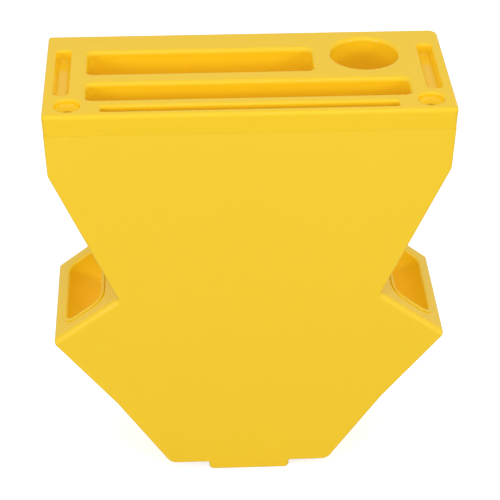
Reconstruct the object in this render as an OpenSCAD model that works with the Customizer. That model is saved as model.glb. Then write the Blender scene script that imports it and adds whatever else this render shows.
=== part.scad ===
// Tool caddy: a hollow hourglass body with a slotted deck on top and a drop-in
// cup in each side wing. Millimetres, +Z up, front towards -Y, origin at the
// centre of the foot's underside.

/* [Body outline] */
// Overall height, from the floor to the deck
total_h = 450; // [395:1:560]
// Width of the deck
top_w = 400; // [360:1:500]
// Depth of the deck, front to back
top_d = 173; // [168:1:220]
// Height of the upright band under the deck
band_h = 68; // [55:1:90]
// How far each side leans in over the height of that band
band_lean = 2.5; // [0:0.5:6]
// Width at the waist
waist_w = 268; // [240:1:300]
// Height of the waist above the floor
waist_z = 232; // [215:1:260]
// Width across the tips of the wings
wing_w = 408; // [370:1:490]
// Height of the wing tips above the floor
wing_z = 179; // [165:1:195]
// Width at the bend in the lower sides
knee_w = 280; // [250:1:300]
// Height of that bend above the floor
knee_z = 95; // [70:1:110]
// Width of the flat bottom
base_w = 170; // [140:1:200]
// Lean of the front and back faces from upright, in degrees
face_draft = 2.5; // [0:0.25:4]

/* [Outline corners] */
// Radius where the band turns into the upper side
band_r = 12; // [6:1:25]
// Radius in the corner at the waist
waist_r = 5; // [2:1:12]
// Radius of the wing tips
wing_r = 5; // [4:1:15]
// Radius of the bottom corners
base_r = 12; // [6:1:20]

/* [Foot] */
// Height of the foot under the body
foot_h = 10; // [6:1:20]
// Width of the foot
foot_w = 86; // [60:1:130]
// Radius of the foot's lower corners
foot_r = 5; // [4.5:0.5:8]

/* [Walls] */
// Wall of the moulded body
wall = 4; // [3:0.5:5]
// Top plate of the deck
deck_t = 4; // [3:0.5:6]
// Wall and floor of the wells that hang from the deck
well_t = 2.5; // [2:0.5:4]
// Wall and floor of the drop-in cups
liner_t = 2.2; // [1.6:0.2:3]

/* [Deck joint] */
// Height of the deck's edge above the seam
deck_edge_h = 22; // [16:1:30]
// How far the deck's spigot reaches down inside the body
spigot_h = 12; // [8:1:16]
// Wall of the spigot
spigot_t = 3; // [2:0.5:4]
// Gap between the spigot and the body
spigot_gap = 0.4; // [0.2:0.1:1]
// Width of each rear hook
hook_w = 60; // [30:1:80]
// Distance of each rear hook from the middle
hook_x = 90; // [60:1:110]
// How far the rear ledges stand in from the body's wall
ledge_d = 5; // [3:0.5:8]
// Height of the rear ledges
ledge_h = 6; // [4:0.5:10]
// Thickness of a hook's stem and nose
hook_t = 3; // [2.5:0.5:5]
// Gap between a hook and its ledge
hook_gap = 0.5; // [0.3:0.1:1]

/* [Slots] */
// Distance from the side of the deck to the ends of the wide slots
slot_side = 41.5; // [38:0.5:60]
// Distance from the side of the deck to the ends of the narrow slot
narrow_side = 56; // [50:0.5:80]
// Plain strip in front of the narrow slot
front_rib = 10.5; // [10:0.5:14]
// Width of the narrow slot
narrow_slot_w = 9.5; // [6:0.5:12]
// Plain strip between the narrow and the middle slot
narrow_rib = 14.5; // [10:0.5:18]
// Width of the middle slot
middle_slot_w = 32.5; // [24:0.5:36]
// Plain strip between the middle and the rear slot
middle_rib = 22; // [14:0.5:26]
// Width of the rear slot
rear_slot_w = 47; // [30:0.5:60]
// Corner radius of the wide slots
slot_r = 7; // [4:0.5:10]
// Corner radius of the narrow slot
narrow_r = 3; // [2:0.5:4]
// Depth of the two wide slots
wide_slot_depth = 95; // [40:1:120]
// Depth of the narrow slot
narrow_slot_depth = 50; // [30:1:60]

/* [Can well] */
// Radius of the can well
can_r = 34; // [28:0.25:38]
// Depth of the can well
can_depth = 115; // [60:1:130]
// Distance from the side of the deck to the can well
can_side = 45.5; // [40:0.5:60]
// Plain strip between the rear slot and the can well
can_rib = 19.5; // [12:0.5:30]

/* [End trays] */
// Width of each end tray
tray_w = 15; // [10:0.5:18]
// Length of each end tray
tray_l = 96; // [70:1:100]
// Depth of each end tray
tray_depth = 12; // [6:0.5:15]
// Distance from the side of the deck to the tray
tray_side = 9.5; // [8.5:0.5:12]
// Distance from the front of the deck to the tray
tray_front = 45; // [42:0.5:60]
// Corner radius of the trays
tray_r = 5; // [2:0.5:6]

/* [Deck screws] */
// Radius of the dish above each screw
dish_r = 12.5; // [10:0.5:14]
// Depth of the dish
dish_depth = 7.5; // [5:0.5:10]
// Distance from the side of the deck to the screw
screw_side = 24; // [22:0.5:28]
// Distance from the front of the deck to the screw
screw_front = 22.5; // [21:0.5:26]
// Radius of the hole that takes the screw's head
head_hole_r = 4.65; // [4.5:0.05:6]
// Depth of that hole below the floor of the dish
head_hole_depth = 11; // [7:0.5:13]
// Plastic under the screw's head
head_seat_t = 4; // [3:0.5:6]
// Radius of the screw's head
head_r = 4.25; // [4:0.05:4.4]
// Height of the screw's head
head_h = 5; // [3:0.5:6]
// Radius of the screw's shank
screw_r = 2.4; // [2:0.05:2.45]
// Length of the screw under its head
screw_l = 18; // [16:1:25]
// Radial gap round the shank in the deck
screw_gap = 0.35; // [0.2:0.05:0.6]
// Width across the flats of the hexagon socket
hex_af = 4; // [3:0.5:4.5]
// Outer radius of the threaded insert
insert_r = 3.5; // [3.25:0.05:4]
// Length of the threaded insert
insert_l = 10; // [8:0.5:12]
// Radial gap between the screw and the insert's bore
thread_gap = 0.1; // [0.05:0.05:0.15]
// Radius of the body's screw boss
boss_r = 8; // [7:0.5:9]
// Height of the boss under the deck joint
boss_h = 36; // [30:1:42]

/* [Pockets] */
// Plain strip of wing between the waist and the pocket
pocket_waist_side = 24; // [20:0.5:28]
// Plain strip of wing between the pocket and the tip
pocket_tip_side = 18.5; // [15:0.5:22]
// Plain strip of wing in front of and behind the pocket
pocket_face_side = 22.5; // [18:0.5:30]
// Corner radius of the pocket
pocket_r = 11; // [6:0.5:15]
// Depth of the pocket below the wing's face
pocket_depth = 68; // [40:1:75]
// Width of the collar round the pocket
collar_w = 5; // [4:0.5:7]
// Height of the collar
collar_h = 1.3; // [1:0.1:4]
// Gap between the cup and the hole in the wing
slide_gap = 0.5; // [0.3:0.1:1]
// Gap under the collar
seat_gap = 0.2; // [0.1:0.05:0.4]

/* [Hidden] */
$fn = 96;
plastic = "#f2c92f";
arc_steps = 6;
spill = 1;

seam_z = total_h - deck_edge_h;
band_z = total_h - band_h;
skirt_t = wall + spigot_gap + spigot_t;
left = -1;
right = 1;

// Half the depth of the outside at height z
function half_depth(z) = top_d / 2 - tan(face_draft) * (total_h - z);

// Slots and wells, each placed from the front and the side of the deck
front_y = -top_d / 2;
narrow_y = front_y + front_rib + narrow_slot_w / 2;
middle_y = narrow_y + narrow_slot_w / 2 + narrow_rib + middle_slot_w / 2;
rear_line = middle_y + middle_slot_w / 2 + middle_rib;
rear_y = rear_line + rear_slot_w / 2;
can_x = top_w / 2 - can_side - can_r;
can_y = rear_line + can_r;
narrow_l = top_w - 2 * narrow_side;
middle_l = top_w - 2 * slot_side;
rear_l = can_x - can_r - can_rib + top_w / 2 - slot_side;
rear_x = -top_w / 2 + slot_side + rear_l / 2;
tray_x = top_w / 2 - tray_side - tray_w / 2;
tray_y = front_y + tray_front + tray_l / 2;
screw_x = top_w / 2 - screw_side;
screw_y = front_y + screw_front;

// Screw stack, from the deck down
dish_z = total_h - dish_depth;
head_z = dish_z - head_hole_depth;
boss_top = head_z - head_seat_t;
boss_low = boss_top - boss_h;
spigot_z = seam_z - spigot_h;
ledge_top = spigot_z - hook_t - hook_gap;

// The wing's face, from the waist to the tip
wing_run = (wing_w - waist_w) / 2;
wing_drop = waist_z - wing_z;
wing_len = norm([wing_run, wing_drop]);
wing_tilt = atan2(wing_drop, wing_run);

// How fast the wing's underside closes in on the pocket as the pocket goes
// down; the pocket moves away from the tip by as much over its depth
underside_tilt = atan2(wing_z - knee_z, (wing_w - knee_w) / 2);
closing_in = max(0, 90 - wing_tilt - underside_tilt);
tip_side = pocket_tip_side + pocket_depth * tan(closing_in);
pocket_w = wing_len - pocket_waist_side - tip_side;
pocket_mid = (pocket_waist_side + pocket_w / 2) / wing_len;
pocket_x = waist_w / 2 + wing_run * pocket_mid;
pocket_z = waist_z - wing_drop * pocket_mid;
pocket_l = 2 * (half_depth(wing_z) - pocket_face_side);

// Outline helpers. A corner is [x, y, radius]; outlines run anticlockwise.
function xy(p) = [p[0], p[1]];
function unit(v) = v / norm(v);
function left_of(v) = [-v[1], v[0]];
function before(c, i) = c[(i + len(c) - 1) % len(c)];
function after(c, i) = c[(i + 1) % len(c)];
function turn(v, w) = v[0] * w[1] - v[1] * w[0];

// Moves every edge of an outline in by d and keeps its corners concentric
function moved_in(c, d) = [for (i = [0 : len(c) - 1])
    let (
        v = unit(xy(c[i]) - xy(before(c, i))),
        w = unit(xy(after(c, i)) - xy(c[i])),
        p = xy(c[i]) + d * (left_of(v) + left_of(w)) / (1 + v * w),
        r = c[i][2] == 0 ? 0 : turn(v, w) > 0 ? max(c[i][2] - d, 0) : c[i][2] + d
    ) [p[0], p[1], r]];

// The points of one rounded corner
function corner_arc(a, b, c, r) =
    let (
        u = unit(a - b),
        v = unit(c - b),
        half = acos(u * v) / 2,
        centre = b + unit(u + v) * r / sin(half),
        start = b + u * r / tan(half) - centre,
        end = b + v * r / tan(half) - centre,
        from = atan2(start[1], start[0]),
        sweep = (atan2(end[1], end[0]) - from + 540) % 360 - 180
    ) [for (i = [0 : arc_steps])
        centre + r * [cos(from + sweep * i / arc_steps), sin(from + sweep * i / arc_steps)]];

function rounded(c) = [for (i = [0 : len(c) - 1])
    each c[i][2] == 0 ? [xy(c[i])]
        : corner_arc(xy(before(c, i)), xy(c[i]), xy(after(c, i)), c[i][2])];

// The right side of the front view, from the bottom up; it runs on above the
// deck so that what is moved in still reaches the deck's height
rise = 20;
right_side = [
    [base_w / 2, foot_h, base_r],
    [knee_w / 2, knee_z, 0],
    [wing_w / 2, wing_z, wing_r],
    [waist_w / 2, waist_z, waist_r],
    [top_w / 2 - band_lean, band_z, band_r],
    [top_w / 2 + band_lean * rise / band_h, total_h + rise, 0]
];
front_view = concat(right_side,
    [for (i = [len(right_side) - 1 : -1 : 0]) [-right_side[i][0], right_side[i][1], right_side[i][2]]]);
side_view = [
    [half_depth(0), 0, 0],
    [half_depth(total_h + rise), total_h + rise, 0],
    [-half_depth(total_h + rise), total_h + rise, 0],
    [-half_depth(0), 0, 0]
];
foot_view = [
    [foot_w / 2, 0, foot_r],
    [foot_w / 2, foot_h + 2 * wall, 0],
    [-foot_w / 2, foot_h + 2 * wall, 0],
    [-foot_w / 2, 0, foot_r]
];

// The outline seen from the front, as a bar along Y
module front_bar(view, inset)
    rotate([90, 0, 0])
        linear_extrude(2 * top_d, center = true)
            polygon(rounded(moved_in(view, inset)));

// The outline seen from the side, as a bar along X
module side_bar(inset)
    rotate([90, 0, 90])
        linear_extrude(2 * top_w, center = true)
            polygon(rounded(moved_in(side_view, inset)));

// Everything between two heights
module layer(low, high)
    translate([0, 0, (low + high) / 2])
        cube([2 * top_w, 2 * top_d, high - low], center = true);

// The body's outside moved in by inset, between two heights
module block(inset, low, high)
    intersection() {
        front_bar(front_view, inset);
        side_bar(inset);
        layer(low, high);
    }

module foot_block(inset)
    intersection() {
        front_bar(foot_view, inset);
        side_bar(inset);
        layer(0, foot_h + 2 * wall - inset);
    }

module rounded_rect(size, r) {
    square([size[0] - 2 * r, size[1]], center = true);
    square([size[0], size[1] - 2 * r], center = true);
    for (x = [-1, 1], y = [-1, 1])
        translate([x * (size[0] / 2 - r), y * (size[1] / 2 - r)])
            circle(r);
}

// A bar with rounded corners from low up to high, grown sideways by grow
module rounded_bar(at, size, r, grow, low, high)
    translate([at[0], at[1], low])
        linear_extrude(high - low)
            rounded_rect([size[0] + 2 * grow, size[1] + 2 * grow], r + grow);

// All wells that hang from the deck; shell is their wall, or 0 for the hollows
module wells(shell, high) {
    rounded_bar([0, narrow_y], [narrow_l, narrow_slot_w], narrow_r, shell,
        total_h - narrow_slot_depth - shell, high);
    rounded_bar([0, middle_y], [middle_l, middle_slot_w], slot_r, shell,
        total_h - wide_slot_depth - shell, high);
    rounded_bar([rear_x, rear_y], [rear_l, rear_slot_w], slot_r, shell,
        total_h - wide_slot_depth - shell, high);
    translate([can_x, can_y, total_h - can_depth - shell])
        cylinder(r = can_r + shell, h = high - total_h + can_depth + shell);
    for (side = [left, right])
        rounded_bar([side * tray_x, tray_y], [tray_w, tray_l], tray_r, shell,
            total_h - tray_depth - shell, high);
}

module at_screws()
    for (side = [left, right])
        translate([side * screw_x, screw_y, 0])
            children();

// A bar between two heights, wide along X, from depth y_in back to y_out
module hook_bar(side, width, y_in, y_out, low, high)
    translate([side * hook_x - width / 2, y_in, low])
        cube([width, y_out - y_in, high - low]);

// Inner face of the back wall where the hooks are, at its furthest in
hook_low = ledge_top - ledge_h - hook_gap - hook_t;
back_y = half_depth(hook_low) - wall;
stem_out = back_y - ledge_d - hook_gap;
stem_in = stem_out - hook_t;

module rear_ledges()
    for (side = [left, right])
        hook_bar(side, hook_w + 2 * hook_t, back_y - ledge_d, back_y + wall / 2,
            ledge_top - ledge_h, ledge_top);

module rear_hooks()
    for (side = [left, right]) {
        hook_bar(side, hook_w, stem_in, stem_out, hook_low, total_h - deck_t / 2);
        hook_bar(side, hook_w, stem_in, back_y - hook_gap, ledge_top + hook_gap,
            total_h - deck_t / 2);
        hook_bar(side, hook_w, stem_in, back_y - 2 * hook_gap, hook_low, hook_low + hook_t);
    }

module screw_bosses()
    for (side = [left, right]) {
        translate([side * screw_x, screw_y, boss_low])
            cylinder(r = boss_r, h = boss_h);
        intersection() {
            block(wall / 2, boss_low, spigot_z - hook_gap);
            translate([side * screw_x, screw_y, 0])
                union() {
                    translate([side * screw_side / 2, 0, total_h / 2])
                        cube([screw_side, wall, total_h], center = true);
                    translate([0, -screw_front / 2, total_h / 2])
                        cube([wall, screw_front, total_h], center = true);
                }
        }
    }

// Puts its children on a wing: X runs down the wing's face from the waist to
// the tip, Z points straight out of the face
module on_wing(side)
    mirror([side == left ? 1 : 0, 0, 0])
        translate([pocket_x, 0, pocket_z])
            rotate([0, wing_tilt, 0])
                children();

module pocket_bar(grow, low, high)
    rounded_bar([0, 0], [pocket_w, pocket_l], pocket_r, grow, low, high);

module body_shell()
    color(plastic)
        difference() {
            union() {
                difference() {
                    union() {
                        block(0, 0, seam_z);
                        foot_block(0);
                    }
                    block(wall, 0, seam_z + spill);
                    foot_block(wall);
                }
                rear_ledges();
                screw_bosses();
            }
            for (side = [left, right])
                on_wing(side)
                    pocket_bar(liner_t + slide_gap, -2 * wall, 2 * wall);
            at_screws()
                translate([0, 0, boss_top - insert_l])
                    cylinder(r = insert_r, h = insert_l + spill);
            at_screws()
                translate([0, 0, head_z - screw_l - spill])
                    cylinder(r = screw_r + screw_gap, h = screw_l);
        }

module slotted_deck()
    color(plastic)
        difference() {
            union() {
                difference() {
                    block(0, seam_z, total_h);
                    block(skirt_t, seam_z - spill, total_h - deck_t);
                }
                difference() {
                    block(wall + spigot_gap, spigot_z, seam_z + spill);
                    block(skirt_t, spigot_z - spill, seam_z + 2 * spill);
                }
                wells(well_t, total_h - deck_t / 2);
                rear_hooks();
                at_screws()
                    translate([0, 0, dish_z - well_t])
                        cylinder(r = dish_r + well_t, h = dish_depth);
                at_screws()
                    translate([0, 0, boss_top])
                        cylinder(r = head_hole_r + well_t, h = dish_z - boss_top);
            }
            wells(0, total_h + spill);
            at_screws()
                translate([0, 0, dish_z])
                    cylinder(r = dish_r, h = dish_depth + spill);
            at_screws()
                translate([0, 0, head_z])
                    cylinder(r = head_hole_r, h = head_hole_depth + spill);
            at_screws()
                translate([0, 0, boss_top - spill])
                    cylinder(r = screw_r + screw_gap, h = head_seat_t + 2 * spill);
        }

module deck_screws()
    color("#b8bcc0")
        at_screws()
            difference() {
                union() {
                    translate([0, 0, head_z])
                        cylinder(r = head_r, h = head_h);
                    translate([0, 0, head_z - screw_l])
                        cylinder(r = screw_r, h = screw_l + spill);
                }
                translate([0, 0, head_z + head_h / 2])
                    cylinder(d = hex_af / cos(30), h = head_h, $fn = 6);
            }

module threaded_inserts()
    color("#c9a44a")
        at_screws()
            translate([0, 0, boss_top - insert_l])
                difference() {
                    cylinder(r = insert_r, h = insert_l);
                    translate([0, 0, -spill])
                        cylinder(r = screw_r + thread_gap, h = insert_l + 2 * spill);
                }

module pocket_liner(side)
    color(plastic)
        on_wing(side)
            difference() {
                union() {
                    pocket_bar(liner_t, -pocket_depth - liner_t, seat_gap + collar_h);
                    pocket_bar(collar_w, seat_gap, seat_gap + collar_h);
                }
                pocket_bar(0, -pocket_depth, seat_gap + collar_h + spill);
            }

module pocket_liner_left() pocket_liner(left);
module pocket_liner_right() pocket_liner(right);

body_shell();
slotted_deck();
deck_screws();
threaded_inserts();
pocket_liner_left();
pocket_liner_right();
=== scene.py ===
import math

import bmesh
import bpy
from mathutils import Matrix, Vector


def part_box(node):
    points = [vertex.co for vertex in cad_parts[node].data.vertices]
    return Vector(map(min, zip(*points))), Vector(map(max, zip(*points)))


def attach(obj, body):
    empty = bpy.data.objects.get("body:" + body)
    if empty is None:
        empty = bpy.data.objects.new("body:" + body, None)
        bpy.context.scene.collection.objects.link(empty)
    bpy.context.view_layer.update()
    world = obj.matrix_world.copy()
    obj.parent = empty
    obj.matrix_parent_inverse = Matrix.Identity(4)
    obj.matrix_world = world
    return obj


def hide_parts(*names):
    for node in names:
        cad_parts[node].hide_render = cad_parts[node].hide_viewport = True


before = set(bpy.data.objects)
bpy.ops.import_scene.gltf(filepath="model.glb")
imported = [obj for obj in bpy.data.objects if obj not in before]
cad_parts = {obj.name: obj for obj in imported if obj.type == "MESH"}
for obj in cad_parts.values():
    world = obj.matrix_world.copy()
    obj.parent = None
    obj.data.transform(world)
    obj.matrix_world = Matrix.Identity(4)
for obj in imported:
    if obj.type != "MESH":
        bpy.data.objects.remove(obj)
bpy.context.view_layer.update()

# ---------------------------------------------------------------- sizes
# Everything is in metres. The overall sizes come from the frame; the rest are
# the moulded caddy's own sizes.
deck_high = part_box("slotted_deck")[1]

TOTAL_H = deck_high.z
SEAM_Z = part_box("body_shell")[1].z
HALF_W = deck_high.x
HALF_D = deck_high.y
FRONT_Y = -HALF_D

# Body outline, half widths and heights
BAND_H, BAND_LEAN, BAND_R = 0.068, 0.0025, 0.012
WAIST_HALF, WAIST_Z, WAIST_R = 0.134, 0.232, 0.005
WING_HALF, WING_Z, WING_R = 0.204, 0.179, 0.005
KNEE_HALF, KNEE_Z, KNEE_R = 0.140, 0.095, 0.040
BASE_HALF, BASE_R = 0.085, 0.012
FOOT_HALF, FOOT_H, FOOT_R, FOOT_INNER_R = 0.043, 0.010, 0.005, 0.0025
FACE_DRAFT = math.radians(2.5)

# Walls, edges and the joint between body and deck
WALL = 0.004
DECK_T = 0.004
EDGE_R = 0.0022
WING_EDGE_R = 0.0065
INNER_EDGE_R = 0.002
FRONT_EDGE_R, SIDE_EDGE_R, BACK_EDGE_R = 0.0042, 0.0022, 0.0016
FRONT_CORNER_R, BACK_LEFT_R, BACK_RIGHT_R = 0.0042, 0.003, 0.009
CORNER_R_MIN = 0.0002
SEAM_GAP = 0.00003
SEAM_CHAMFER = 0.00008
SPIGOT_GAP, SPIGOT_T, SPIGOT_H = 0.0004, 0.003, 0.012

# Slots and wells of the deck, placed from its side and its front
SLOT_SIDE, NARROW_SIDE = 0.0415, 0.056
FRONT_RIB, NARROW_W, NARROW_RIB = 0.0105, 0.0095, 0.0145
MIDDLE_W, MIDDLE_RIB, REAR_W = 0.0325, 0.022, 0.047
SLOT_R, NARROW_R = 0.007, 0.003
WIDE_DEPTH, NARROW_DEPTH = 0.095, 0.050
CAN_R, CAN_DEPTH, CAN_SIDE, CAN_RIB = 0.034, 0.115, 0.0455, 0.0195
TRAY_W, TRAY_L, TRAY_DEPTH, TRAY_R = 0.015, 0.096, 0.012, 0.0055
TRAY_SIDE, TRAY_FRONT = 0.0095, 0.045
WELL_T, THIN_WELL_T = 0.0025, 0.0013
RIM_W = 0.008  # nearer the deck's edge than this counts as outside

# Rolled mouth, floor fillet and draft of each well
WIDE_MOUTH_R, WIDE_FLOOR_R, WIDE_DRAFT = 0.0045, 0.003, 0.001
NARROW_MOUTH_R, NARROW_FLOOR_R, NARROW_DRAFT = 0.003, 0.001, 0.0
CAN_MOUTH_R, CAN_FLOOR_R, CAN_DRAFT = 0.004, 0.004, 0.0005
TRAY_MOUTH_R, TRAY_FLOOR_R, TRAY_DRAFT = 0.0022, 0.0025, 0.0018

# Dish and stepped hole over each deck screw
DISH_R, DISH_DEPTH = 0.0125, 0.0075
DISH_MOUTH_R, DISH_FLOOR_R, HEAD_LIP_R = 0.0025, 0.004, 0.0015
SCREW_SIDE, SCREW_FRONT = 0.024, 0.0225
HEAD_HOLE_R, HEAD_HOLE_DEPTH = 0.00465, 0.011
HEAD_SEAT_T, SHANK_HOLE_R = 0.004, 0.00275

# Pockets in the wings and their cups
POCKET_WAIST_SIDE, POCKET_TIP_SIDE, POCKET_FACE_SIDE = 0.024, 0.0185, 0.0225
POCKET_R, POCKET_DEPTH = 0.011, 0.068
LINER_T, SLIDE_GAP, SEAT_GAP = 0.0022, 0.0005, 0.0002
COLLAR_W, COLLAR_H = 0.005, 0.0013
CUP_LIP_R, CUP_RIM_R, CUP_FLOOR_R, CUP_BASE_R = 0.0028, 0.0009, 0.006, 0.004
CUP_DRAFT, CUP_SOFTER = 0.0012, 0.006

# Deck screws and the inserts they turn into
HEAD_R, HEAD_H, HEX_AF = 0.00425, 0.005, 0.004
HEAD_TOP = ((0.0008, 0), (0.0002, 0.0004))  # (distance in, distance down) round the top
KNURL_TOP, HEAD_CHAMFER = 0.0007, 0.0003
SCREW_R, SCREW_L = 0.0024, 0.018
PLAIN_SHANK_L, SCREW_POINT_L, SCREW_POINT_IN = 0.002, 0.0012, 0.001
INSERT_R, INSERT_L, BORE_R = 0.0035, 0.010, 0.0025
INSERT_CHAMFER, GROOVE_DEPTH, GROOVE_STEP, BAND_SHARE = 0.0006, 0.0005, 0.0003, 0.4
THREAD_PITCH, THREAD_DEPTH, KNURL_DEPTH = 0.0008, 0.0003, 0.0002

# Smoothness of the round stretches
ARC_STEPS = 8
FILLET_STEPS = 5
RIM_STEPS = 3
ROUND_POINTS, DISH_POINTS, SCREW_POINTS, INSERT_POINTS = 96, 48, 48, 60
STEPS_PER_THREAD = 6
MERGE = 1e-6

# Marks on the surface: an edge sharper than SHARP isn't smoothed, a point where
# faces turn by WORN is fully worn, and INNER_LIGHT_DEPTH down a well it takes the full painted light of
# the wells
SHARP = math.radians(50)
WORN = math.radians(18)
INNER_LIGHT_DEPTH = 0.035


def half_depth(z):
    """Half the depth of the leaning body at height z."""
    return HALF_D - math.tan(FACE_DRAFT) * (TOTAL_H - z)


# ---------------------------------------------------------------- outlines
# A corner is (x, z, radius, edge before, edge after) and an outline runs
# anticlockwise. The edge values round the front and back edges of the body on
# either side of the corner. The outline rises above the deck by RISE and is cut
# off at the seam. TIP is where the wing's tip stands in it.
RISE = 0.02
RIGHT_SIDE = [
    (FOOT_HALF, 0, FOOT_R, EDGE_R, EDGE_R),
    (FOOT_HALF, FOOT_H, FOOT_INNER_R, EDGE_R, EDGE_R),
    (BASE_HALF, FOOT_H, BASE_R, EDGE_R, EDGE_R),
    (KNEE_HALF, KNEE_Z, KNEE_R, EDGE_R, EDGE_R),
    (WING_HALF, WING_Z, WING_R, EDGE_R, WING_EDGE_R),
    (WAIST_HALF, WAIST_Z, WAIST_R, WING_EDGE_R, EDGE_R),
    (HALF_W - BAND_LEAN, TOTAL_H - BAND_H, BAND_R, EDGE_R, EDGE_R),
    (HALF_W + BAND_LEAN * RISE / BAND_H, TOTAL_H + RISE, INNER_EDGE_R, EDGE_R, EDGE_R),
]
LEFT_SIDE = [(-x, z, r, after, before) for x, z, r, before, after in reversed(RIGHT_SIDE)]
FRONT_VIEW = RIGHT_SIDE + LEFT_SIDE
TIP = 4


def unit(v):
    length = math.hypot(v[0], v[1])
    return (v[0] / length, v[1] / length)


def moved_in(corners, distance):
    """Moves every edge of an outline in and keeps its arcs concentric."""
    moved = []
    for i, (x, z, radius, *edges) in enumerate(corners):
        after = corners[(i + 1) % len(corners)]
        a = unit((x - corners[i - 1][0], z - corners[i - 1][1]))
        b = unit((after[0] - x, after[1] - z))
        share = distance / (1 + a[0] * b[0] + a[1] * b[1])
        convex = a[0] * b[1] - a[1] * b[0] > 0
        new_radius = max(radius - distance, 0) if convex else radius + distance
        moved.append((x - (a[1] + b[1]) * share, z + (a[0] + b[0]) * share, new_radius, *edges))
    return moved


def corner_arc(before, corner, after):
    """The points of one rounded corner, always ARC_STEPS + 1 of them."""
    x, z, radius = corner[:3]
    u = unit((before[0] - x, before[1] - z))
    v = unit((after[0] - x, after[1] - z))
    half = math.acos(u[0] * v[0] + u[1] * v[1]) / 2
    middle = unit((u[0] + v[0], u[1] + v[1]))
    cx = x + middle[0] * radius / math.sin(half)
    cz = z + middle[1] * radius / math.sin(half)
    run, away = 1 / math.tan(half), 1 / math.sin(half)
    start = math.atan2(u[1] * run - middle[1] * away, u[0] * run - middle[0] * away)
    end = math.atan2(v[1] * run - middle[1] * away, v[0] * run - middle[0] * away)
    sweep = (end - start + math.pi) % (2 * math.pi) - math.pi
    angles = [start + sweep * i / ARC_STEPS for i in range(ARC_STEPS + 1)]
    return [(cx + radius * math.cos(t), cz + radius * math.sin(t)) for t in angles]


def outline(corners):
    """All points of an outline. Corner i takes points i * (ARC_STEPS + 1) onwards."""
    points = []
    for i, corner in enumerate(corners):
        points += corner_arc(corners[i - 1], corner, corners[(i + 1) % len(corners)])
    return points


def edge_radii(corners):
    """The edge radius at every point of an outline."""
    return [before + (after - before) * i / ARC_STEPS
            for *place, before, after in corners for i in range(ARC_STEPS + 1)]


def rolled(outer, inner, reach, radii):
    """Rings of a rounded edge whose radius changes along it.

    Each ring is a list of (point, distance down). The inner outline lies in by reach.
    """
    rings = []
    for step_in, step_down in quarter(1):
        ring = []
        for a, b, radius in zip(outer, inner, radii):
            share = radius * step_in / reach
            point = (a[0] + (b[0] - a[0]) * share, a[1] + (b[1] - a[1]) * share)
            ring.append((point, radius * step_down))
        rings.append(ring)
    return rings


def quarter(radius, steps=FILLET_STEPS):
    """A quarter round from a flat face to its side: (distance in, distance down) pairs."""
    turns = [math.pi / 2 * i / steps for i in range(steps + 1)]
    return [(radius * (1 - math.sin(t)), radius * (1 - math.cos(t))) for t in turns]


# ---------------------------------------------------------------- mesh helpers
def loop_of(mesh, points):
    return [mesh.verts.new(p) for p in points]


def skin(mesh, loop_a, loop_b, gaps=()):
    """Quads between two loops of the same length, leaving out the quads listed in gaps."""
    count = len(loop_a)
    for i in range(count):
        if i not in gaps:
            j = (i + 1) % count
            mesh.faces.new((loop_a[i], loop_a[j], loop_b[j], loop_b[i]))


def skin_all(mesh, loops):
    for loop_a, loop_b in zip(loops, loops[1:]):
        skin(mesh, loop_a, loop_b)


def loop_edges(mesh, loop):
    edges = []
    for i, vert in enumerate(loop):
        following = loop[(i + 1) % len(loop)]
        edge = mesh.edges.get((vert, following))
        edges.append(edge or mesh.edges.new((vert, following)))
    return edges


def fill_flat(mesh, loops, normal):
    """Fills the flat area inside the first loop and outside the others."""
    edges = [edge for loop in loops for edge in loop_edges(mesh, loop)]
    bmesh.ops.triangle_fill(mesh, use_beauty=True, use_dissolve=False, edges=edges, normal=normal)


def full_turn(count):
    """Evenly spaced angles round a circle."""
    return [2 * math.pi * i / count for i in range(count)]


def rounded_rect(half_x, half_y, *radii):
    """Points of a rectangle with rounded corners, anticlockwise from the front right.

    Takes a radius for each corner, or one for all four.
    """
    points = []
    corners = ((1, -1, -90), (1, 1, 0), (-1, 1, 90), (-1, -1, 180))
    for (side_x, side_y, start), radius in zip(corners, radii if len(radii) > 1 else radii * 4):
        for i in range(ARC_STEPS + 1):
            t = math.radians(start + 90 * i / ARC_STEPS)
            points.append((side_x * (half_x - radius) + radius * math.cos(t),
                           side_y * (half_y - radius) + radius * math.sin(t)))
    return points


def mark_surface(mesh, depth_inside):
    """Marks sharp edges, and writes how far each point sticks out and how far inside it lies."""
    for edge in mesh.edges:
        edge.smooth = edge.calc_face_angle(0) < SHARP
    sticks_out = mesh.verts.layers.float.new("edge")
    # How far inside a point lies is the mask for the painted light down the wells
    sheltered = mesh.verts.layers.float.new("sheltered")
    for vert in mesh.verts:
        turn = max((edge.calc_face_angle_signed(0) for edge in vert.link_edges), default=0)
        vert[sticks_out] = min(1, max(0, turn / WORN))
        vert[sheltered] = min(1, max(0, depth_inside(vert.co) / INNER_LIGHT_DEPTH))


def nowhere_inside(point):
    return 0


def inside_deck(point):
    """How far a point lies down a well of the deck."""
    within_rim = abs(point.x) < HALF_W - RIM_W and abs(point.y) < HALF_D - RIM_W
    return TOTAL_H - point.z if within_rim else 0


def linked(name, data):
    """A new object in the scene."""
    made = bpy.data.objects.new(name, data)
    bpy.context.scene.collection.objects.link(made)
    return made


def smooth_piece(name, mesh, depth_inside):
    """An object made from a bmesh, with its faces smooth, its normals outwards and its marks."""
    bmesh.ops.recalc_face_normals(mesh, faces=mesh.faces)
    for face in mesh.faces:
        face.smooth = True
    mark_surface(mesh, depth_inside)
    draft = bpy.data.meshes.new(name + "_draft")
    mesh.to_mesh(draft)
    mesh.free()
    return linked(name, draft)


def finished(name, mesh, material, body, node, depth_inside=nowhere_inside):
    """Turns a bmesh into a piece that stands for a CAD node."""
    bmesh.ops.remove_doubles(mesh, verts=mesh.verts, dist=MERGE)
    bmesh.ops.dissolve_degenerate(mesh, dist=MERGE, edges=mesh.edges)
    piece = smooth_piece(name, mesh, depth_inside)
    flat_faces = piece.modifiers.new("flat_faces", "WEIGHTED_NORMAL")
    flat_faces.weight = 100
    flat_faces.keep_sharp = True
    settled(piece, material, body, node)


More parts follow.
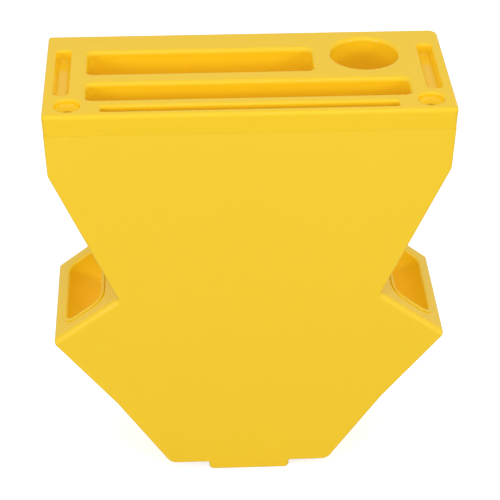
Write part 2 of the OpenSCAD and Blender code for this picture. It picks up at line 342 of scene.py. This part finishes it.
def settled(piece, material, body, node):
    """Turns a piece's modifiers into plain mesh and hangs it on its body."""
    evaluated = piece.evaluated_get(bpy.context.evaluated_depsgraph_get())
    plain = bpy.data.meshes.new_from_object(evaluated)
    piece.modifiers.clear()
    piece.data = plain
    plain.name = piece.name
    plain.materials.clear()
    plain.materials.append(material)
    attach(piece, body)
    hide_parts(node)


# ---------------------------------------------------------------- node helpers
def place(tree, kind, inputs=None, **settings):
    """Adds a node, sets it, and links or fills its inputs."""
    made = tree.nodes.new(kind)
    for key, value in settings.items():
        setattr(made, key, value)
    for key, value in (inputs or {}).items():
        if isinstance(value, bpy.types.NodeSocket):
            tree.links.new(value, made.inputs[key])
        else:
            made.inputs[key].default_value = value
    return made


def new_group(name, inputs, outputs):
    """A shader node group. Inputs are (name, type, value) and outputs (name, type)."""
    group = bpy.data.node_groups.new(name, "ShaderNodeTree")
    for label, kind, value in inputs:
        socket = group.interface.new_socket(label, in_out="INPUT", socket_type="NodeSocket" + kind)
        socket.default_value = value
    for label, kind in outputs:
        group.interface.new_socket(label, in_out="OUTPUT", socket_type="NodeSocket" + kind)
    return group, place(group, "NodeGroupInput").outputs


def ramp(tree, value, low, high, to_low=0.0, to_high=1.0):
    """Stretches a value from one range to another, clamped."""
    return place(tree, "ShaderNodeMapRange",
                 {0: value, 1: low, 2: high, 3: to_low, 4: to_high}, clamp=True).outputs[0]


def maths(tree, operation, a, b=0.0):
    return place(tree, "ShaderNodeMath", {0: a, 1: b}, operation=operation).outputs[0]


def mixed(tree, share, a, b):
    return place(tree, "ShaderNodeMix", {0: share, 6: a, 7: b}, data_type="RGBA").outputs[2]


# ---------------------------------------------------------------- wings
class Wing:
    """The slanted face of one wing: u runs from the pocket's middle to the tip, v along Y, h out."""

    def __init__(self, side):
        run, drop = WING_HALF - WAIST_HALF, WAIST_Z - WING_Z
        length = math.hypot(run, drop)
        self.half_u = (length - POCKET_WAIST_SIDE - POCKET_TIP_SIDE) / 2
        self.half_v = half_depth(WING_Z) - POCKET_FACE_SIDE
        share = (POCKET_WAIST_SIDE + self.half_u) / length
        self.centre = Vector((side * (WAIST_HALF + run * share), 0, WAIST_Z - drop * share))
        self.down = Vector((side * run, 0, -drop)) / length
        self.out = Vector((side * drop, 0, run)) / length

    def ring(self, grow, height, softer=0.0):
        """A rounded loop round the pocket, grown sideways, at a height above the face."""
        points = rounded_rect(self.half_u + grow, self.half_v + grow, POCKET_R + grow + softer)
        return [self.centre + self.down * u + Vector((0, v, 0)) + self.out * height for u, v in points]

    def depth_at(self, point):
        """How far a point lies below the wing's face."""
        return (self.centre - point).dot(self.out)


WINGS = {"left": Wing(-1), "right": Wing(1)}


# ---------------------------------------------------------------- body shell
def shell_skin(mesh, corners, inset):
    """The body's surface for an outline, with rolled edges, open at the wings' faces.

    Returns the corners of each wing's open face.
    """
    reach = INNER_EDGE_R
    rings = rolled(outline(corners), outline(moved_in(corners, reach)), reach, edge_radii(corners))
    front, back = [], []
    for ring in rings:
        for loops, side in ((front, -1), (back, 1)):
            loops.append(loop_of(mesh, [
                (x, side * (half_depth(z) - inset - down), z) for (x, z), down in ring]))
    skin_all(mesh, front)
    skin_all(mesh, back)
    mesh.faces.new(front[0])
    mesh.faces.new(back[0])
    per_corner = ARC_STEPS + 1
    last = len(corners) - 1
    gaps = {"right": (TIP + 1) * per_corner - 1, "left": (last - TIP) * per_corner - 1}
    skin(mesh, front[-1], back[-1], gaps.values())
    return {side: [front[-1][i], front[-1][i + 1], back[-1][i + 1], back[-1][i]]
            for side, i in gaps.items()}


def body_mesh():
    mesh = bmesh.new()
    outer = shell_skin(mesh, FRONT_VIEW, 0)
    inside = [(x, z, r, INNER_EDGE_R, INNER_EDGE_R) for x, z, r, *edges in moved_in(FRONT_VIEW, WALL)]
    inner = shell_skin(mesh, inside, WALL)
    grow = LINER_T + SLIDE_GAP
    for side, wing in WINGS.items():
        mouth = loop_of(mesh, wing.ring(grow, 0))
        throat = loop_of(mesh, wing.ring(grow, -WALL))
        fill_flat(mesh, [outer[side], mouth], wing.out)
        fill_flat(mesh, [inner[side], throat], wing.out)
        skin(mesh, mouth, throat)
    cut = bmesh.ops.bisect_plane(
        mesh, geom=mesh.verts[:] + mesh.edges[:] + mesh.faces[:], dist=MERGE,
        plane_co=(0, 0, SEAM_Z), plane_no=(0, 0, 1), clear_outer=True)
    rim = [e for e in cut["geom_cut"] if isinstance(e, bmesh.types.BMEdge)]
    bmesh.ops.triangle_fill(mesh, use_beauty=True, edges=rim, normal=(0, 0, 1))
    return mesh


# ---------------------------------------------------------------- deck
class RoundedSlot:
    """A straight-sided slot with rounded corners in the deck."""

    def __init__(self, x, y, half_x, half_y, radius):
        self.at, self.half, self.radius = (x, y), (half_x, half_y), radius

    def ring(self, mesh, grow, z):
        points = rounded_rect(self.half[0] + grow, self.half[1] + grow, self.radius + grow)
        return loop_of(mesh, [(self.at[0] + x, self.at[1] + y, z) for x, y in points])


class RoundWell:
    """A round well or hole in the deck."""

    def __init__(self, x, y, radius, count=ROUND_POINTS):
        self.at, self.radius, self.count = (x, y), radius, count

    def ring(self, mesh, grow, z):
        r = self.radius + grow
        return loop_of(mesh, [(self.at[0] + r * math.cos(t), self.at[1] + r * math.sin(t), z)
                              for t in full_turn(self.count)])


def well(mesh, shape, depth, mouth_r, floor_r, wall, draft):
    """A closed well that closes in by draft. Returns its loops in the deck's top and underside."""
    inside = [shape.ring(mesh, grow, TOTAL_H - down) for grow, down in quarter(mouth_r)]
    floor_z = TOTAL_H - depth
    inside += [shape.ring(mesh, -draft - step_down, floor_z + step_in)
               for step_in, step_down in quarter(floor_r)]
    outside = [shape.ring(mesh, wall, TOTAL_H - DECK_T)]
    outside += [shape.ring(mesh, wall - step_down, floor_z - wall + step_in)
                for step_in, step_down in quarter(floor_r)]
    for loops in (inside, outside):
        skin_all(mesh, loops)
        mesh.faces.new(loops[-1])
    return inside[0], outside[0]


def screw_hole(mesh, x, y):
    """A dish with a stepped hole through its floor and the sleeve round that hole."""
    shape = RoundWell(x, y, 0, DISH_POINTS)
    dish_z = TOTAL_H - DISH_DEPTH
    head_z = dish_z - HEAD_HOLE_DEPTH
    low_z = head_z - HEAD_SEAT_T
    sleeve_r = HEAD_HOLE_R + WELL_T
    path = [(DISH_R + grow, TOTAL_H - down) for grow, down in quarter(DISH_MOUTH_R)]
    path += [(DISH_R - step_down, dish_z + step_in) for step_in, step_down in quarter(DISH_FLOOR_R)]
    path += [(HEAD_HOLE_R + step_in, dish_z - step_down) for step_in, step_down in quarter(HEAD_LIP_R)]
    path += [(HEAD_HOLE_R, head_z), (SHANK_HOLE_R, head_z), (SHANK_HOLE_R, low_z), (sleeve_r, low_z)]
    path += [(sleeve_r, dish_z - THIN_WELL_T), (DISH_R + THIN_WELL_T, dish_z - THIN_WELL_T)]
    path += [(DISH_R + THIN_WELL_T, TOTAL_H - DECK_T)]
    loops = [shape.ring(mesh, radius, z) for radius, z in path]
    skin_all(mesh, loops)
    return loops[0], loops[-1]


def deck_wells():
    """Every closed well: its shape, depth, mouth radius, floor radius, wall and draft.

    The slots are set out from the front edge back, and the can well from the right.
    """
    narrow_y = FRONT_Y + FRONT_RIB + NARROW_W / 2
    middle_y = narrow_y + NARROW_W / 2 + NARROW_RIB + MIDDLE_W / 2
    rear_line = middle_y + MIDDLE_W / 2 + MIDDLE_RIB
    can_x = HALF_W - CAN_SIDE - CAN_R
    slot_half = HALF_W - SLOT_SIDE
    rear_right = can_x - CAN_R - CAN_RIB
    rear_half = (rear_right + slot_half) / 2
    tray_x = HALF_W - TRAY_SIDE - TRAY_W / 2
    tray_y = FRONT_Y + TRAY_FRONT + TRAY_L / 2
    rear_x, rear_y = rear_right - rear_half, rear_line + REAR_W / 2
    wide = (WIDE_DEPTH, WIDE_MOUTH_R, WIDE_FLOOR_R, WELL_T, WIDE_DRAFT)
    wells = [
        (RoundedSlot(0, narrow_y, HALF_W - NARROW_SIDE, NARROW_W / 2, NARROW_R),
         NARROW_DEPTH, NARROW_MOUTH_R, NARROW_FLOOR_R, THIN_WELL_T, NARROW_DRAFT),
        (RoundedSlot(0, middle_y, slot_half, MIDDLE_W / 2, SLOT_R), *wide),
        (RoundedSlot(rear_x, rear_y, rear_half, REAR_W / 2, SLOT_R), *wide),
        (RoundWell(can_x, rear_line + CAN_R, CAN_R),
         CAN_DEPTH, CAN_MOUTH_R, CAN_FLOOR_R, WELL_T, CAN_DRAFT),
    ]
    for side in (-1, 1):
        wells.append((RoundedSlot(side * tray_x, tray_y, TRAY_W / 2, TRAY_L / 2, TRAY_R),
                      TRAY_DEPTH, TRAY_MOUTH_R, TRAY_FLOOR_R, THIN_WELL_T, TRAY_DRAFT))
    return wells


def deck_mesh():
    mesh = bmesh.new()

    def plan(inset, z):
        """Outline of the deck at height z, moved in by inset."""
        lean = BAND_LEAN * (TOTAL_H - z) / BAND_H
        corners = (FRONT_CORNER_R, BACK_RIGHT_R, BACK_LEFT_R, FRONT_CORNER_R)
        return rounded_rect(HALF_W - lean - inset, half_depth(z) - inset,
                            *(max(radius - inset, CORNER_R_MIN) for radius in corners))

    def ring_at(inset, z):
        return loop_of(mesh, [(x, y, z) for x, y in plan(inset, z)])

    # The rolled top edge is widest along the front and changes round the corners
    radii = []
    for start, end in ((FRONT_EDGE_R, SIDE_EDGE_R), (SIDE_EDGE_R, BACK_EDGE_R),
                       (BACK_EDGE_R, SIDE_EDGE_R), (SIDE_EDGE_R, FRONT_EDGE_R)):
        radii += [start + (end - start) * i / ARC_STEPS for i in range(ARC_STEPS + 1)]
    reach = 0.001
    top_edge = rolled(plan(0, TOTAL_H), plan(reach, TOTAL_H), reach, radii)
    rim = [loop_of(mesh, [(x, y, TOTAL_H - down) for (x, y), down in ring]) for ring in top_edge]

    # Down the strip above the seam and round the skirt that goes inside the body
    skirt_t = WALL + SPIGOT_GAP + SPIGOT_T
    path = [(0, SEAM_Z + SEAM_GAP + SEAM_CHAMFER), (SEAM_CHAMFER, SEAM_Z + SEAM_GAP)]
    path += [(WALL + SPIGOT_GAP, SEAM_Z + SEAM_GAP), (WALL + SPIGOT_GAP, SEAM_Z - SPIGOT_H)]
    path += [(skirt_t, SEAM_Z - SPIGOT_H), (skirt_t, TOTAL_H - DECK_T)]
    rim += [ring_at(inset, z) for inset, z in path]
    skin_all(mesh, rim)

    tops, undersides = [rim[0]], [rim[-1]]
    for shape, *sizes in deck_wells():
        top, underside = well(mesh, shape, *sizes)
        tops.append(top)
        undersides.append(underside)
    for side in (-1, 1):
        top, underside = screw_hole(mesh, side * (HALF_W - SCREW_SIDE), FRONT_Y + SCREW_FRONT)
        tops.append(top)
        undersides.append(underside)
    fill_flat(mesh, tops, (0, 0, 1))
    fill_flat(mesh, undersides, (0, 0, -1))
    return mesh


# ---------------------------------------------------------------- cups
def liner_mesh(wing):
    """A cup whose collar rests on the wing's face."""
    mesh = bmesh.new()
    top = SEAT_GAP + COLLAR_H
    # Steps of (sideways, height, softer corners) from the base, over the collar, to the floor
    path = [(LINER_T - step_down, step_in - POCKET_DEPTH - LINER_T, 0)
            for step_in, step_down in reversed(quarter(CUP_BASE_R))]
    path += [(LINER_T, SEAT_GAP, 0), (COLLAR_W, SEAT_GAP, 0)]
    path += [(COLLAR_W - step_in, top - step_down, 0)
             for step_in, step_down in reversed(quarter(CUP_RIM_R, RIM_STEPS))]
    path += [(step_in, top - step_down, 0) for step_in, step_down in quarter(CUP_LIP_R)]
    path += [(-CUP_DRAFT - step_down, step_in - POCKET_DEPTH, CUP_SOFTER)
             for step_in, step_down in quarter(CUP_FLOOR_R)]
    loops = [loop_of(mesh, wing.ring(*step)) for step in path]
    skin_all(mesh, loops)
    mesh.faces.new(loops[0])
    mesh.faces.new(loops[-1])
    return mesh


# ---------------------------------------------------------------- screws and inserts
def plain(radius, t, z):
    return radius


def hexagon(radius, t, z):
    return radius / math.cos((t % (math.pi / 3)) - math.pi / 6)


def threaded(depth):
    """A thread's section. A negative depth cuts in from the radius, a positive one outwards."""
    def section(radius, t, z):
        wave = abs(((z / THREAD_PITCH - t / (2 * math.pi)) % 1) * 2 - 1)
        return radius + depth * wave
    return section


def knurled(count):
    """A section whose every second point is pressed in."""
    def section(radius, t, z):
        return radius - KNURL_DEPTH * (round(t / (2 * math.pi) * count) % 2)
    return section


def lathe(mesh, count, parts):
    """Loops for parts of (section, (radius, height) pairs)."""
    loops = []
    for section, path in parts:
        for radius, z in path:
            loops.append(loop_of(mesh, [
                (section(radius, t, z) * math.cos(t), section(radius, t, z) * math.sin(t), z)
                for t in full_turn(count)]))
    return loops


def screw_mesh():
    """A socket-head screw, its head's underside at height 0."""
    mesh = bmesh.new()
    socket = HEX_AF / 2
    start, end = -PLAIN_SHANK_L, SCREW_POINT_L - SCREW_L
    steps = int((start - end) / THREAD_PITCH * STEPS_PER_THREAD)
    loops = lathe(mesh, SCREW_POINTS, [
        (hexagon, [(socket, HEAD_H / 2), (socket, HEAD_H)]),
        (plain, [(HEAD_R - step_in, HEAD_H - down) for step_in, down in HEAD_TOP]),
        (knurled(SCREW_POINTS), [(HEAD_R, HEAD_H - KNURL_TOP), (HEAD_R, HEAD_CHAMFER)]),
        (plain, [(HEAD_R - HEAD_CHAMFER, 0), (SCREW_R, 0), (SCREW_R, start + THREAD_DEPTH)]),
        (threaded(-THREAD_DEPTH), [(SCREW_R, start + (end - start) * i / steps)
                                   for i in range(steps + 1)]),
        (plain, [(SCREW_R - SCREW_POINT_IN, -SCREW_L)]),
    ])
    skin_all(mesh, loops)
    mesh.faces.new(loops[0])
    mesh.faces.new(loops[-1])
    return mesh


def insert_mesh():
    """A knurled threaded insert with a groove round its middle, its top at height 0."""
    mesh = bmesh.new()
    groove, end_r = INSERT_R - GROOVE_DEPTH, INSERT_R - INSERT_CHAMFER
    band = INSERT_L * BAND_SHARE
    steps = int(INSERT_L / THREAD_PITCH * STEPS_PER_THREAD)
    knurl = knurled(INSERT_POINTS)
    loops = lathe(mesh, INSERT_POINTS, [
        (plain, [(end_r, 0)]),
        (knurl, [(INSERT_R, -INSERT_CHAMFER), (INSERT_R, -band)]),
        (plain, [(groove, -band - GROOVE_STEP), (groove, band + GROOVE_STEP - INSERT_L)]),
        (knurl, [(INSERT_R, band - INSERT_L), (INSERT_R, INSERT_CHAMFER - INSERT_L)]),
        (plain, [(end_r, -INSERT_L)]),
        (threaded(THREAD_DEPTH), [(BORE_R, -INSERT_L * (1 - i / steps)) for i in range(steps + 1)]),
    ])
    skin_all(mesh, loops + [loops[0]])
    return mesh


def pair_tree():
    """Geometry Nodes that set one piece at each end of a line across the deck."""
    tree = bpy.data.node_groups.new("across_the_deck", "GeometryNodeTree")
    tree.interface.new_socket("Piece", in_out="INPUT", socket_type="NodeSocketGeometry")
    for name in ("Half Distance", "Front Line", "Height"):
        tree.interface.new_socket(name, in_out="INPUT", socket_type="NodeSocketFloat")
    tree.interface.new_socket("Finish", in_out="INPUT", socket_type="NodeSocketMaterial")
    tree.interface.new_socket("Pair", in_out="OUTPUT", socket_type="NodeSocketGeometry")
    given = place(tree, "NodeGroupInput").outputs
    across = place(tree, "ShaderNodeMath", {0: given["Half Distance"], 1: 2.0}, operation="MULTIPLY")
    left = place(tree, "ShaderNodeMath", {0: given["Half Distance"], 1: -1.0}, operation="MULTIPLY")
    start = place(tree, "ShaderNodeCombineXYZ",
                  {"X": left.outputs[0], "Y": given["Front Line"], "Z": given["Height"]})
    step = place(tree, "ShaderNodeCombineXYZ", {"X": across.outputs[0]})
    line = place(tree, "GeometryNodeMeshLine",
                 {"Count": 2, "Start Location": start.outputs[0], "Offset": step.outputs[0]})
    copies = place(tree, "GeometryNodeInstanceOnPoints",
                   {"Points": line.outputs[0], "Instance": given["Piece"]})
    real = place(tree, "GeometryNodeRealizeInstances", {"Geometry": copies.outputs[0]})
    done = place(tree, "GeometryNodeSetMaterial",
                 {"Geometry": real.outputs[0], "Material": given["Finish"]})
    place(tree, "NodeGroupOutput", {"Pair": done.outputs[0]})
    return tree


def pair(name, mesh, tree, height, material, node):
    """The two copies of a fastener, one at each front corner of the deck."""
    piece = smooth_piece(name, mesh, nowhere_inside)
    modifier = piece.modifiers.new("across_the_deck", "NODES")
    modifier.node_group = tree
    values = {"Half Distance": HALF_W - SCREW_SIDE, "Front Line": FRONT_Y + SCREW_FRONT,
              "Height": height, "Finish": material}
    for socket in tree.interface.items_tree:
        if socket.name in values and socket.in_out == "INPUT":
            modifier[socket.identifier] = values[socket.name]
    settled(piece, material, "caddy", node)


# ---------------------------------------------------------------- finishes
WORN_YELLOW = (0.98, 0.72, 0.12, 1)
# Painted light down inside the wells: a brighter, more saturated yellow
INNER_LIGHT_YELLOW = (1.0, 0.74, 0.014, 1)
DIRT = (0.22, 0.12, 0.03, 1)
CLOUD, SCUFFS, SPECKS = 0.03, 0.12, 0.15
BLACK, WHITE = (0, 0, 0, 1), (1, 1, 1, 1)


def moulded_plastic_group():
    """Moulded polyethylene: cloudy colour, orange-peel skin, specks, scuffs and worn edges, with a
    painted brighter yellow down inside the wells.
    """
    tree, given = new_group("moulded_plastic", [
        ("Colour", "Color", (0.9, 0.58, 0.04, 1)),
        ("Worn Colour", "Color", (0.95, 0.72, 0.2, 1)),
        ("Sheltered Colour", "Color", (0.98, 0.66, 0.01, 1)),
        ("Roughness", "Float", 0.3),
        ("Cloud", "Float", 0.06),
        ("Scuffs", "Float", 0.5),
        ("Specks", "Float", 0.5),
    ], [("Colour", "Color"), ("Roughness", "Float"), ("Height", "Float")])
    at = place(tree, "ShaderNodeTexCoord").outputs["Object"]

    def noise(scale, detail=2.0, roughness=0.5, where=at):
        return place(tree, "ShaderNodeTexNoise", {
            "Vector": where, "Scale": scale, "Detail": detail, "Roughness": roughness}).outputs[0]

    # Cloudy colour: broad patches of pigment and a finer mottle
    broad = noise(8.0, 3.0)
    fine = noise(90.0, 2.0)
    cloud = maths(tree, "ADD", maths(tree, "MULTIPLY", broad, 0.7), maths(tree, "MULTIPLY", fine, 0.3))
    swing = maths(tree, "MULTIPLY", maths(tree, "SUBTRACT", cloud, 0.5), given["Cloud"])
    # Painted light: down inside the wells the base colour turns to a brighter, deeper yellow, standing
    # in for light bouncing round inside them
    sheltered = place(tree, "ShaderNodeAttribute", attribute_name="sheltered").outputs["Fac"]
    base = mixed(tree, sheltered, given["Colour"], given["Sheltered Colour"])
    lit = place(tree, "ShaderNodeHueSaturation", {
        "Value": maths(tree, "ADD", swing, 1.0), "Color": base}).outputs[0]

    # Scuffs: short rubbed streaks in two directions, gathered in patches
    patches = ramp(tree, noise(5.0, 4.0, 0.6), 0.45, 0.7)
    streaks = None
    for turn, squeeze in ((0.4, 14.0), (-0.9, 18.0)):
        along = place(tree, "ShaderNodeMapping", {
            "Vector": at, "Rotation": (turn, turn / 2, turn), "Scale": (1, squeeze, squeeze)}).outputs[0]
        line = ramp(tree, noise(22.0, 3.0, 0.7, along), 0.62, 0.74)
        streaks = line if streaks is None else maths(tree, "MAXIMUM", streaks, line)
    scuff = maths(tree, "MULTIPLY", maths(tree, "MULTIPLY", streaks, patches), given["Scuffs"])

    # Worn edges
    edge = place(tree, "ShaderNodeAttribute", attribute_name="edge").outputs["Fac"]
    rubbed = ramp(tree, noise(60.0, 4.0, 0.65), 0.45, 0.75)
    worn = maths(tree, "MULTIPLY", maths(tree, "MULTIPLY", edge, rubbed), given["Scuffs"])

    # Specks of dirt in the plastic
    cells = place(tree, "ShaderNodeTexVoronoi", {"Vector": at, "Scale": 95.0}, feature="F1")
    lot = place(tree, "ShaderNodeSeparateColor", {0: cells.outputs["Color"]}).outputs[0]
    picked = maths(tree, "GREATER_THAN", lot, 0.93)
    dots = ramp(tree, cells.outputs["Distance"], 0.035, 0.055, 1.0, 0.0)
    speck = maths(tree, "MULTIPLY", maths(tree, "MULTIPLY", dots, picked), given["Specks"])

    # What is put out: the colour, the roughness, and the height for the bump
    colour = mixed(tree, maths(tree, "MULTIPLY", scuff, 0.25), lit, given["Worn Colour"])
    colour = mixed(tree, maths(tree, "MULTIPLY", worn, 0.5), colour, given["Worn Colour"])
    colour = mixed(tree, speck, colour, DIRT)
    haze = maths(tree, "MULTIPLY", maths(tree, "SUBTRACT", broad, 0.5), 0.12)
    rough = maths(tree, "ADD", given["Roughness"], haze)
    rough = maths(tree, "ADD", rough, maths(tree, "MULTIPLY", maths(tree, "ADD", scuff, worn), 0.18))
    peel = noise(330.0, 1.0, 0.4)
    grain = noise(1600.0, 1.0, 0.5)
    height = maths(tree, "ADD", peel, maths(tree, "MULTIPLY", grain, 0.22))
    height = maths(tree, "SUBTRACT", height, maths(tree, "MULTIPLY", scuff, 0.5))
    place(tree, "NodeGroupOutput", {"Colour": colour, "Roughness": rough, "Height": height})
    return tree


def new_material(name, group, **values):
    """A material with one placed group. Returns the material, its node tree and the group."""
    material = bpy.data.materials.new(name)
    material.use_nodes = True
    tree = material.node_tree
    tree.nodes.clear()
    surface = place(tree, "ShaderNodeGroup", node_tree=group)
    for label, value in values.items():
        surface.inputs[label.replace("_", " ").title()].default_value = value
    return material, tree, surface


def plastic(name, group, colour, painted_glow_colour, painted_glow_strength, roughness):
    """A moulding's finish. The glow colour and glow strength paint a glow of light inside its wells."""
    material, tree, skin = new_material(
        name, group, colour=colour, worn_colour=WORN_YELLOW, sheltered_colour=INNER_LIGHT_YELLOW,
        roughness=roughness, cloud=CLOUD, scuffs=SCUFFS, specks=SPECKS)
    bump = place(tree, "ShaderNodeBump", {
        "Height": skin.outputs["Height"], "Strength": 0.02, "Distance": 0.0006})
    # Painted light: a weak glow, only down inside the pockets and slots, standing in for light that
    # soaks through the walls
    sheltered = place(tree, "ShaderNodeAttribute", attribute_name="sheltered").outputs["Fac"]
    painted_glow_mix = mixed(tree, sheltered, BLACK, painted_glow_colour)
    shader = place(tree, "ShaderNodeBsdfPrincipled", {
        "Base Color": skin.outputs["Colour"], "Roughness": skin.outputs["Roughness"],
        "Normal": bump.outputs["Normal"], "IOR": 1.5, "Specular IOR Level": 0.35,
        "Emission Color": painted_glow_mix, "Emission Strength": painted_glow_strength})
    place(tree, "ShaderNodeOutputMaterial", {"Surface": shader.outputs[0]})
    return material


def worked_metal_group():
    """Metal with fine turning marks and a patchy film."""
    tree, given = new_group("worked_metal", [
        ("Colour", "Color", (0.6, 0.6, 0.6, 1)),
        ("Film Colour", "Color", (0.4, 0.4, 0.4, 1)),
        ("Roughness", "Float", 0.3),
    ], [("Colour", "Color"), ("Roughness", "Float"), ("Height", "Float")])
    at = place(tree, "ShaderNodeTexCoord").outputs["Object"]
    stretched = place(tree, "ShaderNodeMapping", {"Vector": at, "Scale": (1, 1, 9)}).outputs[0]
    marks = place(tree, "ShaderNodeTexNoise",
                  {"Vector": stretched, "Scale": 900.0, "Detail": 3.0}).outputs[0]
    film = place(tree, "ShaderNodeTexNoise",
                 {"Vector": at, "Scale": 350.0, "Detail": 4.0}).outputs[0]
    share = ramp(tree, film, 0.4, 0.7, 0.0, 0.6)
    colour = mixed(tree, share, given["Colour"], given["Film Colour"])
    rough = maths(tree, "ADD", given["Roughness"], maths(tree, "MULTIPLY", share, 0.25))
    place(tree, "NodeGroupOutput", {"Colour": colour, "Roughness": rough, "Height": marks})
    return tree


def metal(name, group, colour, film_colour, roughness):
    material, tree, skin = new_material(
        name, group, colour=colour, film_colour=film_colour, roughness=roughness)
    bump = place(tree, "ShaderNodeBump", {
        "Height": skin.outputs["Height"], "Strength": 0.25, "Distance": 0.0001})
    shader = place(tree, "ShaderNodeBsdfPrincipled", {
        "Base Color": skin.outputs["Colour"], "Roughness": skin.outputs["Roughness"],
        "Normal": bump.outputs["Normal"], "Metallic": 1.0})
    place(tree, "ShaderNodeOutputMaterial", {"Surface": shader.outputs[0]})
    return material


# ---------------------------------------------------------------- floor, light and camera
FLOOR_HALF, FLOOR_LIFT = 8.0, 0.7
TENT_FRONT = (0, -0.42, 0.91)
TENT_LOW, TENT_HIGH = 0.665, 0.825
TENT_SHARE = (0.2, 1.0)
BOX_W, BOX_WATTS = 0.6, 17


def floor_finish():
    material = bpy.data.materials.new("floor_paper")
    material.use_nodes = True
    tree = material.node_tree
    shader = tree.nodes["Principled BSDF"]
    at = place(tree, "ShaderNodeTexCoord").outputs["Object"]
    tooth = place(tree, "ShaderNodeTexNoise", {"Vector": at, "Scale": 400.0}).outputs[0]
    tint = mixed(tree, tooth, (0.58, 0.58, 0.58, 1), (0.62, 0.62, 0.62, 1))
    tree.links.new(tint, shader.inputs["Base Color"])
    shader.inputs["Roughness"].default_value = 0.9
    shader.inputs["Specular IOR Level"].default_value = 0.1
    # The camera sees the paper lifted to white; the caddy doesn't
    seen = place(tree, "ShaderNodeLightPath").outputs["Is Camera Ray"]
    lift = mixed(tree, seen, BLACK, WHITE)
    tree.links.new(lift, shader.inputs["Emission Color"])
    shader.inputs["Emission Strength"].default_value = FLOOR_LIFT
    return material


def build_floor():
    half = FLOOR_HALF
    data = bpy.data.meshes.new("floor")
    data.from_pydata([(-half, -half, 0), (half, -half, 0), (half, half, 0), (-half, half, 0)],
                     [], [(0, 1, 2, 3)])
    data.materials.append(floor_finish())
    linked("floor", data)


def softbox(name, at, aim, width, height, watts):
    """A rectangular area light turned to face its aim."""
    data = bpy.data.lights.new(name, "AREA")
    data.shape = "RECTANGLE"
    data.size = width
    data.size_y = height
    data.energy = watts
    lamp = linked(name, data)
    lamp.location = at
    lamp.rotation_euler = (Vector(aim) - Vector(at)).to_track_quat("-Z", "Y").to_euler()


def light_studio():
    """A white tent, brightest above the front, with two softboxes and a thin strip high up."""
    world = bpy.data.worlds.new("white_tent")
    bpy.context.scene.world = world
    world.use_nodes = True
    tree = world.node_tree
    background = tree.nodes["Background"]
    background.inputs["Color"].default_value = WHITE
    direction = place(tree, "ShaderNodeTexCoord").outputs["Generated"]
    facing = place(tree, "ShaderNodeVectorMath", {0: direction, 1: TENT_FRONT}, operation="DOT_PRODUCT")
    glow = place(tree, "ShaderNodeMapRange",
                 {0: facing.outputs["Value"], 1: TENT_SHARE[0], 2: TENT_SHARE[1],
                  3: TENT_LOW, 4: TENT_HIGH}, interpolation_type="SMOOTHSTEP")
    tree.links.new(glow.outputs[0], background.inputs["Strength"])
    middle = (0, 0, 0.3)
    softbox("high_strip", (0.0, -1.2, 2.2), middle, 1.8, 0.2, 6)
    softbox("front_left", (-2.1, -2.3, 1.3), middle, BOX_W, BOX_W, BOX_WATTS)
    softbox("front_right", (2.1, -2.3, 1.3), middle, BOX_W, BOX_W, BOX_WATTS)


def set_camera():
    """Stands a little to the left and looks down on the caddy."""
    data = bpy.data.cameras.new("camera")
    data.lens = 133.94
    data.sensor_width = 36
    camera = linked("camera", data)
    bpy.context.scene.camera = camera
    distance, azimuth, elevation, roll = 1.9602, 2.748, 32.532, 0.142
    target = Vector((0.0036, 0, 0.2398))
    a, e = math.radians(azimuth), math.radians(elevation)
    forward = Vector((math.sin(a) * math.cos(e), math.cos(a) * math.cos(e), -math.sin(e)))
    turn = forward.to_track_quat("-Z", "Y") @ Matrix.Rotation(math.radians(roll), 3, "Z").to_quaternion()
    camera.matrix_world = Matrix.LocRotScale(target - forward * distance, turn, None)


# ---------------------------------------------------------------- assembly
def build_caddy():
    skin = moulded_plastic_group()
    # Colours of the painted glow: down the wells of the shell and deck, and inside the cups
    well_glow_colour, cup_glow_colour = (1.0, 0.56, 0.09, 1), (1.0, 0.8, 0.15, 1)
    shell = plastic("yellow_shell", skin, (0.97, 0.635, 0.021, 1), well_glow_colour, painted_glow_strength=0.12, roughness=0.24)
    deck = plastic("yellow_deck", skin, (0.97, 0.625, 0.013, 1), well_glow_colour, painted_glow_strength=0.10, roughness=0.14)
    cup = plastic("yellow_liner", skin, (0.97, 0.635, 0.012, 1), cup_glow_colour, painted_glow_strength=0.14, roughness=0.26)
    turned = worked_metal_group()
    steel = metal("screw_steel", turned, (0.62, 0.62, 0.63, 1), (0.42, 0.42, 0.40, 1), 0.28)
    brass = metal("insert_brass", turned, (0.78, 0.60, 0.28, 1), (0.52, 0.38, 0.16, 1), 0.30)
    finished("caddy_body", body_mesh(), shell, "caddy", "body_shell")
    finished("caddy_deck", deck_mesh(), deck, "caddy", "slotted_deck", inside_deck)
    for side, wing in WINGS.items():
        finished("wing_cup_" + side, liner_mesh(wing), cup, "liner_" + side,
                 "pocket_liner_" + side, wing.depth_at)
    across = pair_tree()
    head_z = TOTAL_H - DISH_DEPTH - HEAD_HOLE_DEPTH
    pair("corner_screws", screw_mesh(), across, head_z, steel, "deck_screws")
    pair("corner_inserts", insert_mesh(), across, head_z - HEAD_SEAT_T, brass,
         "threaded_inserts")


build_caddy()
build_floor()
light_studio()
set_camera()
bpy.context.scene.view_settings.view_transform = "Standard"
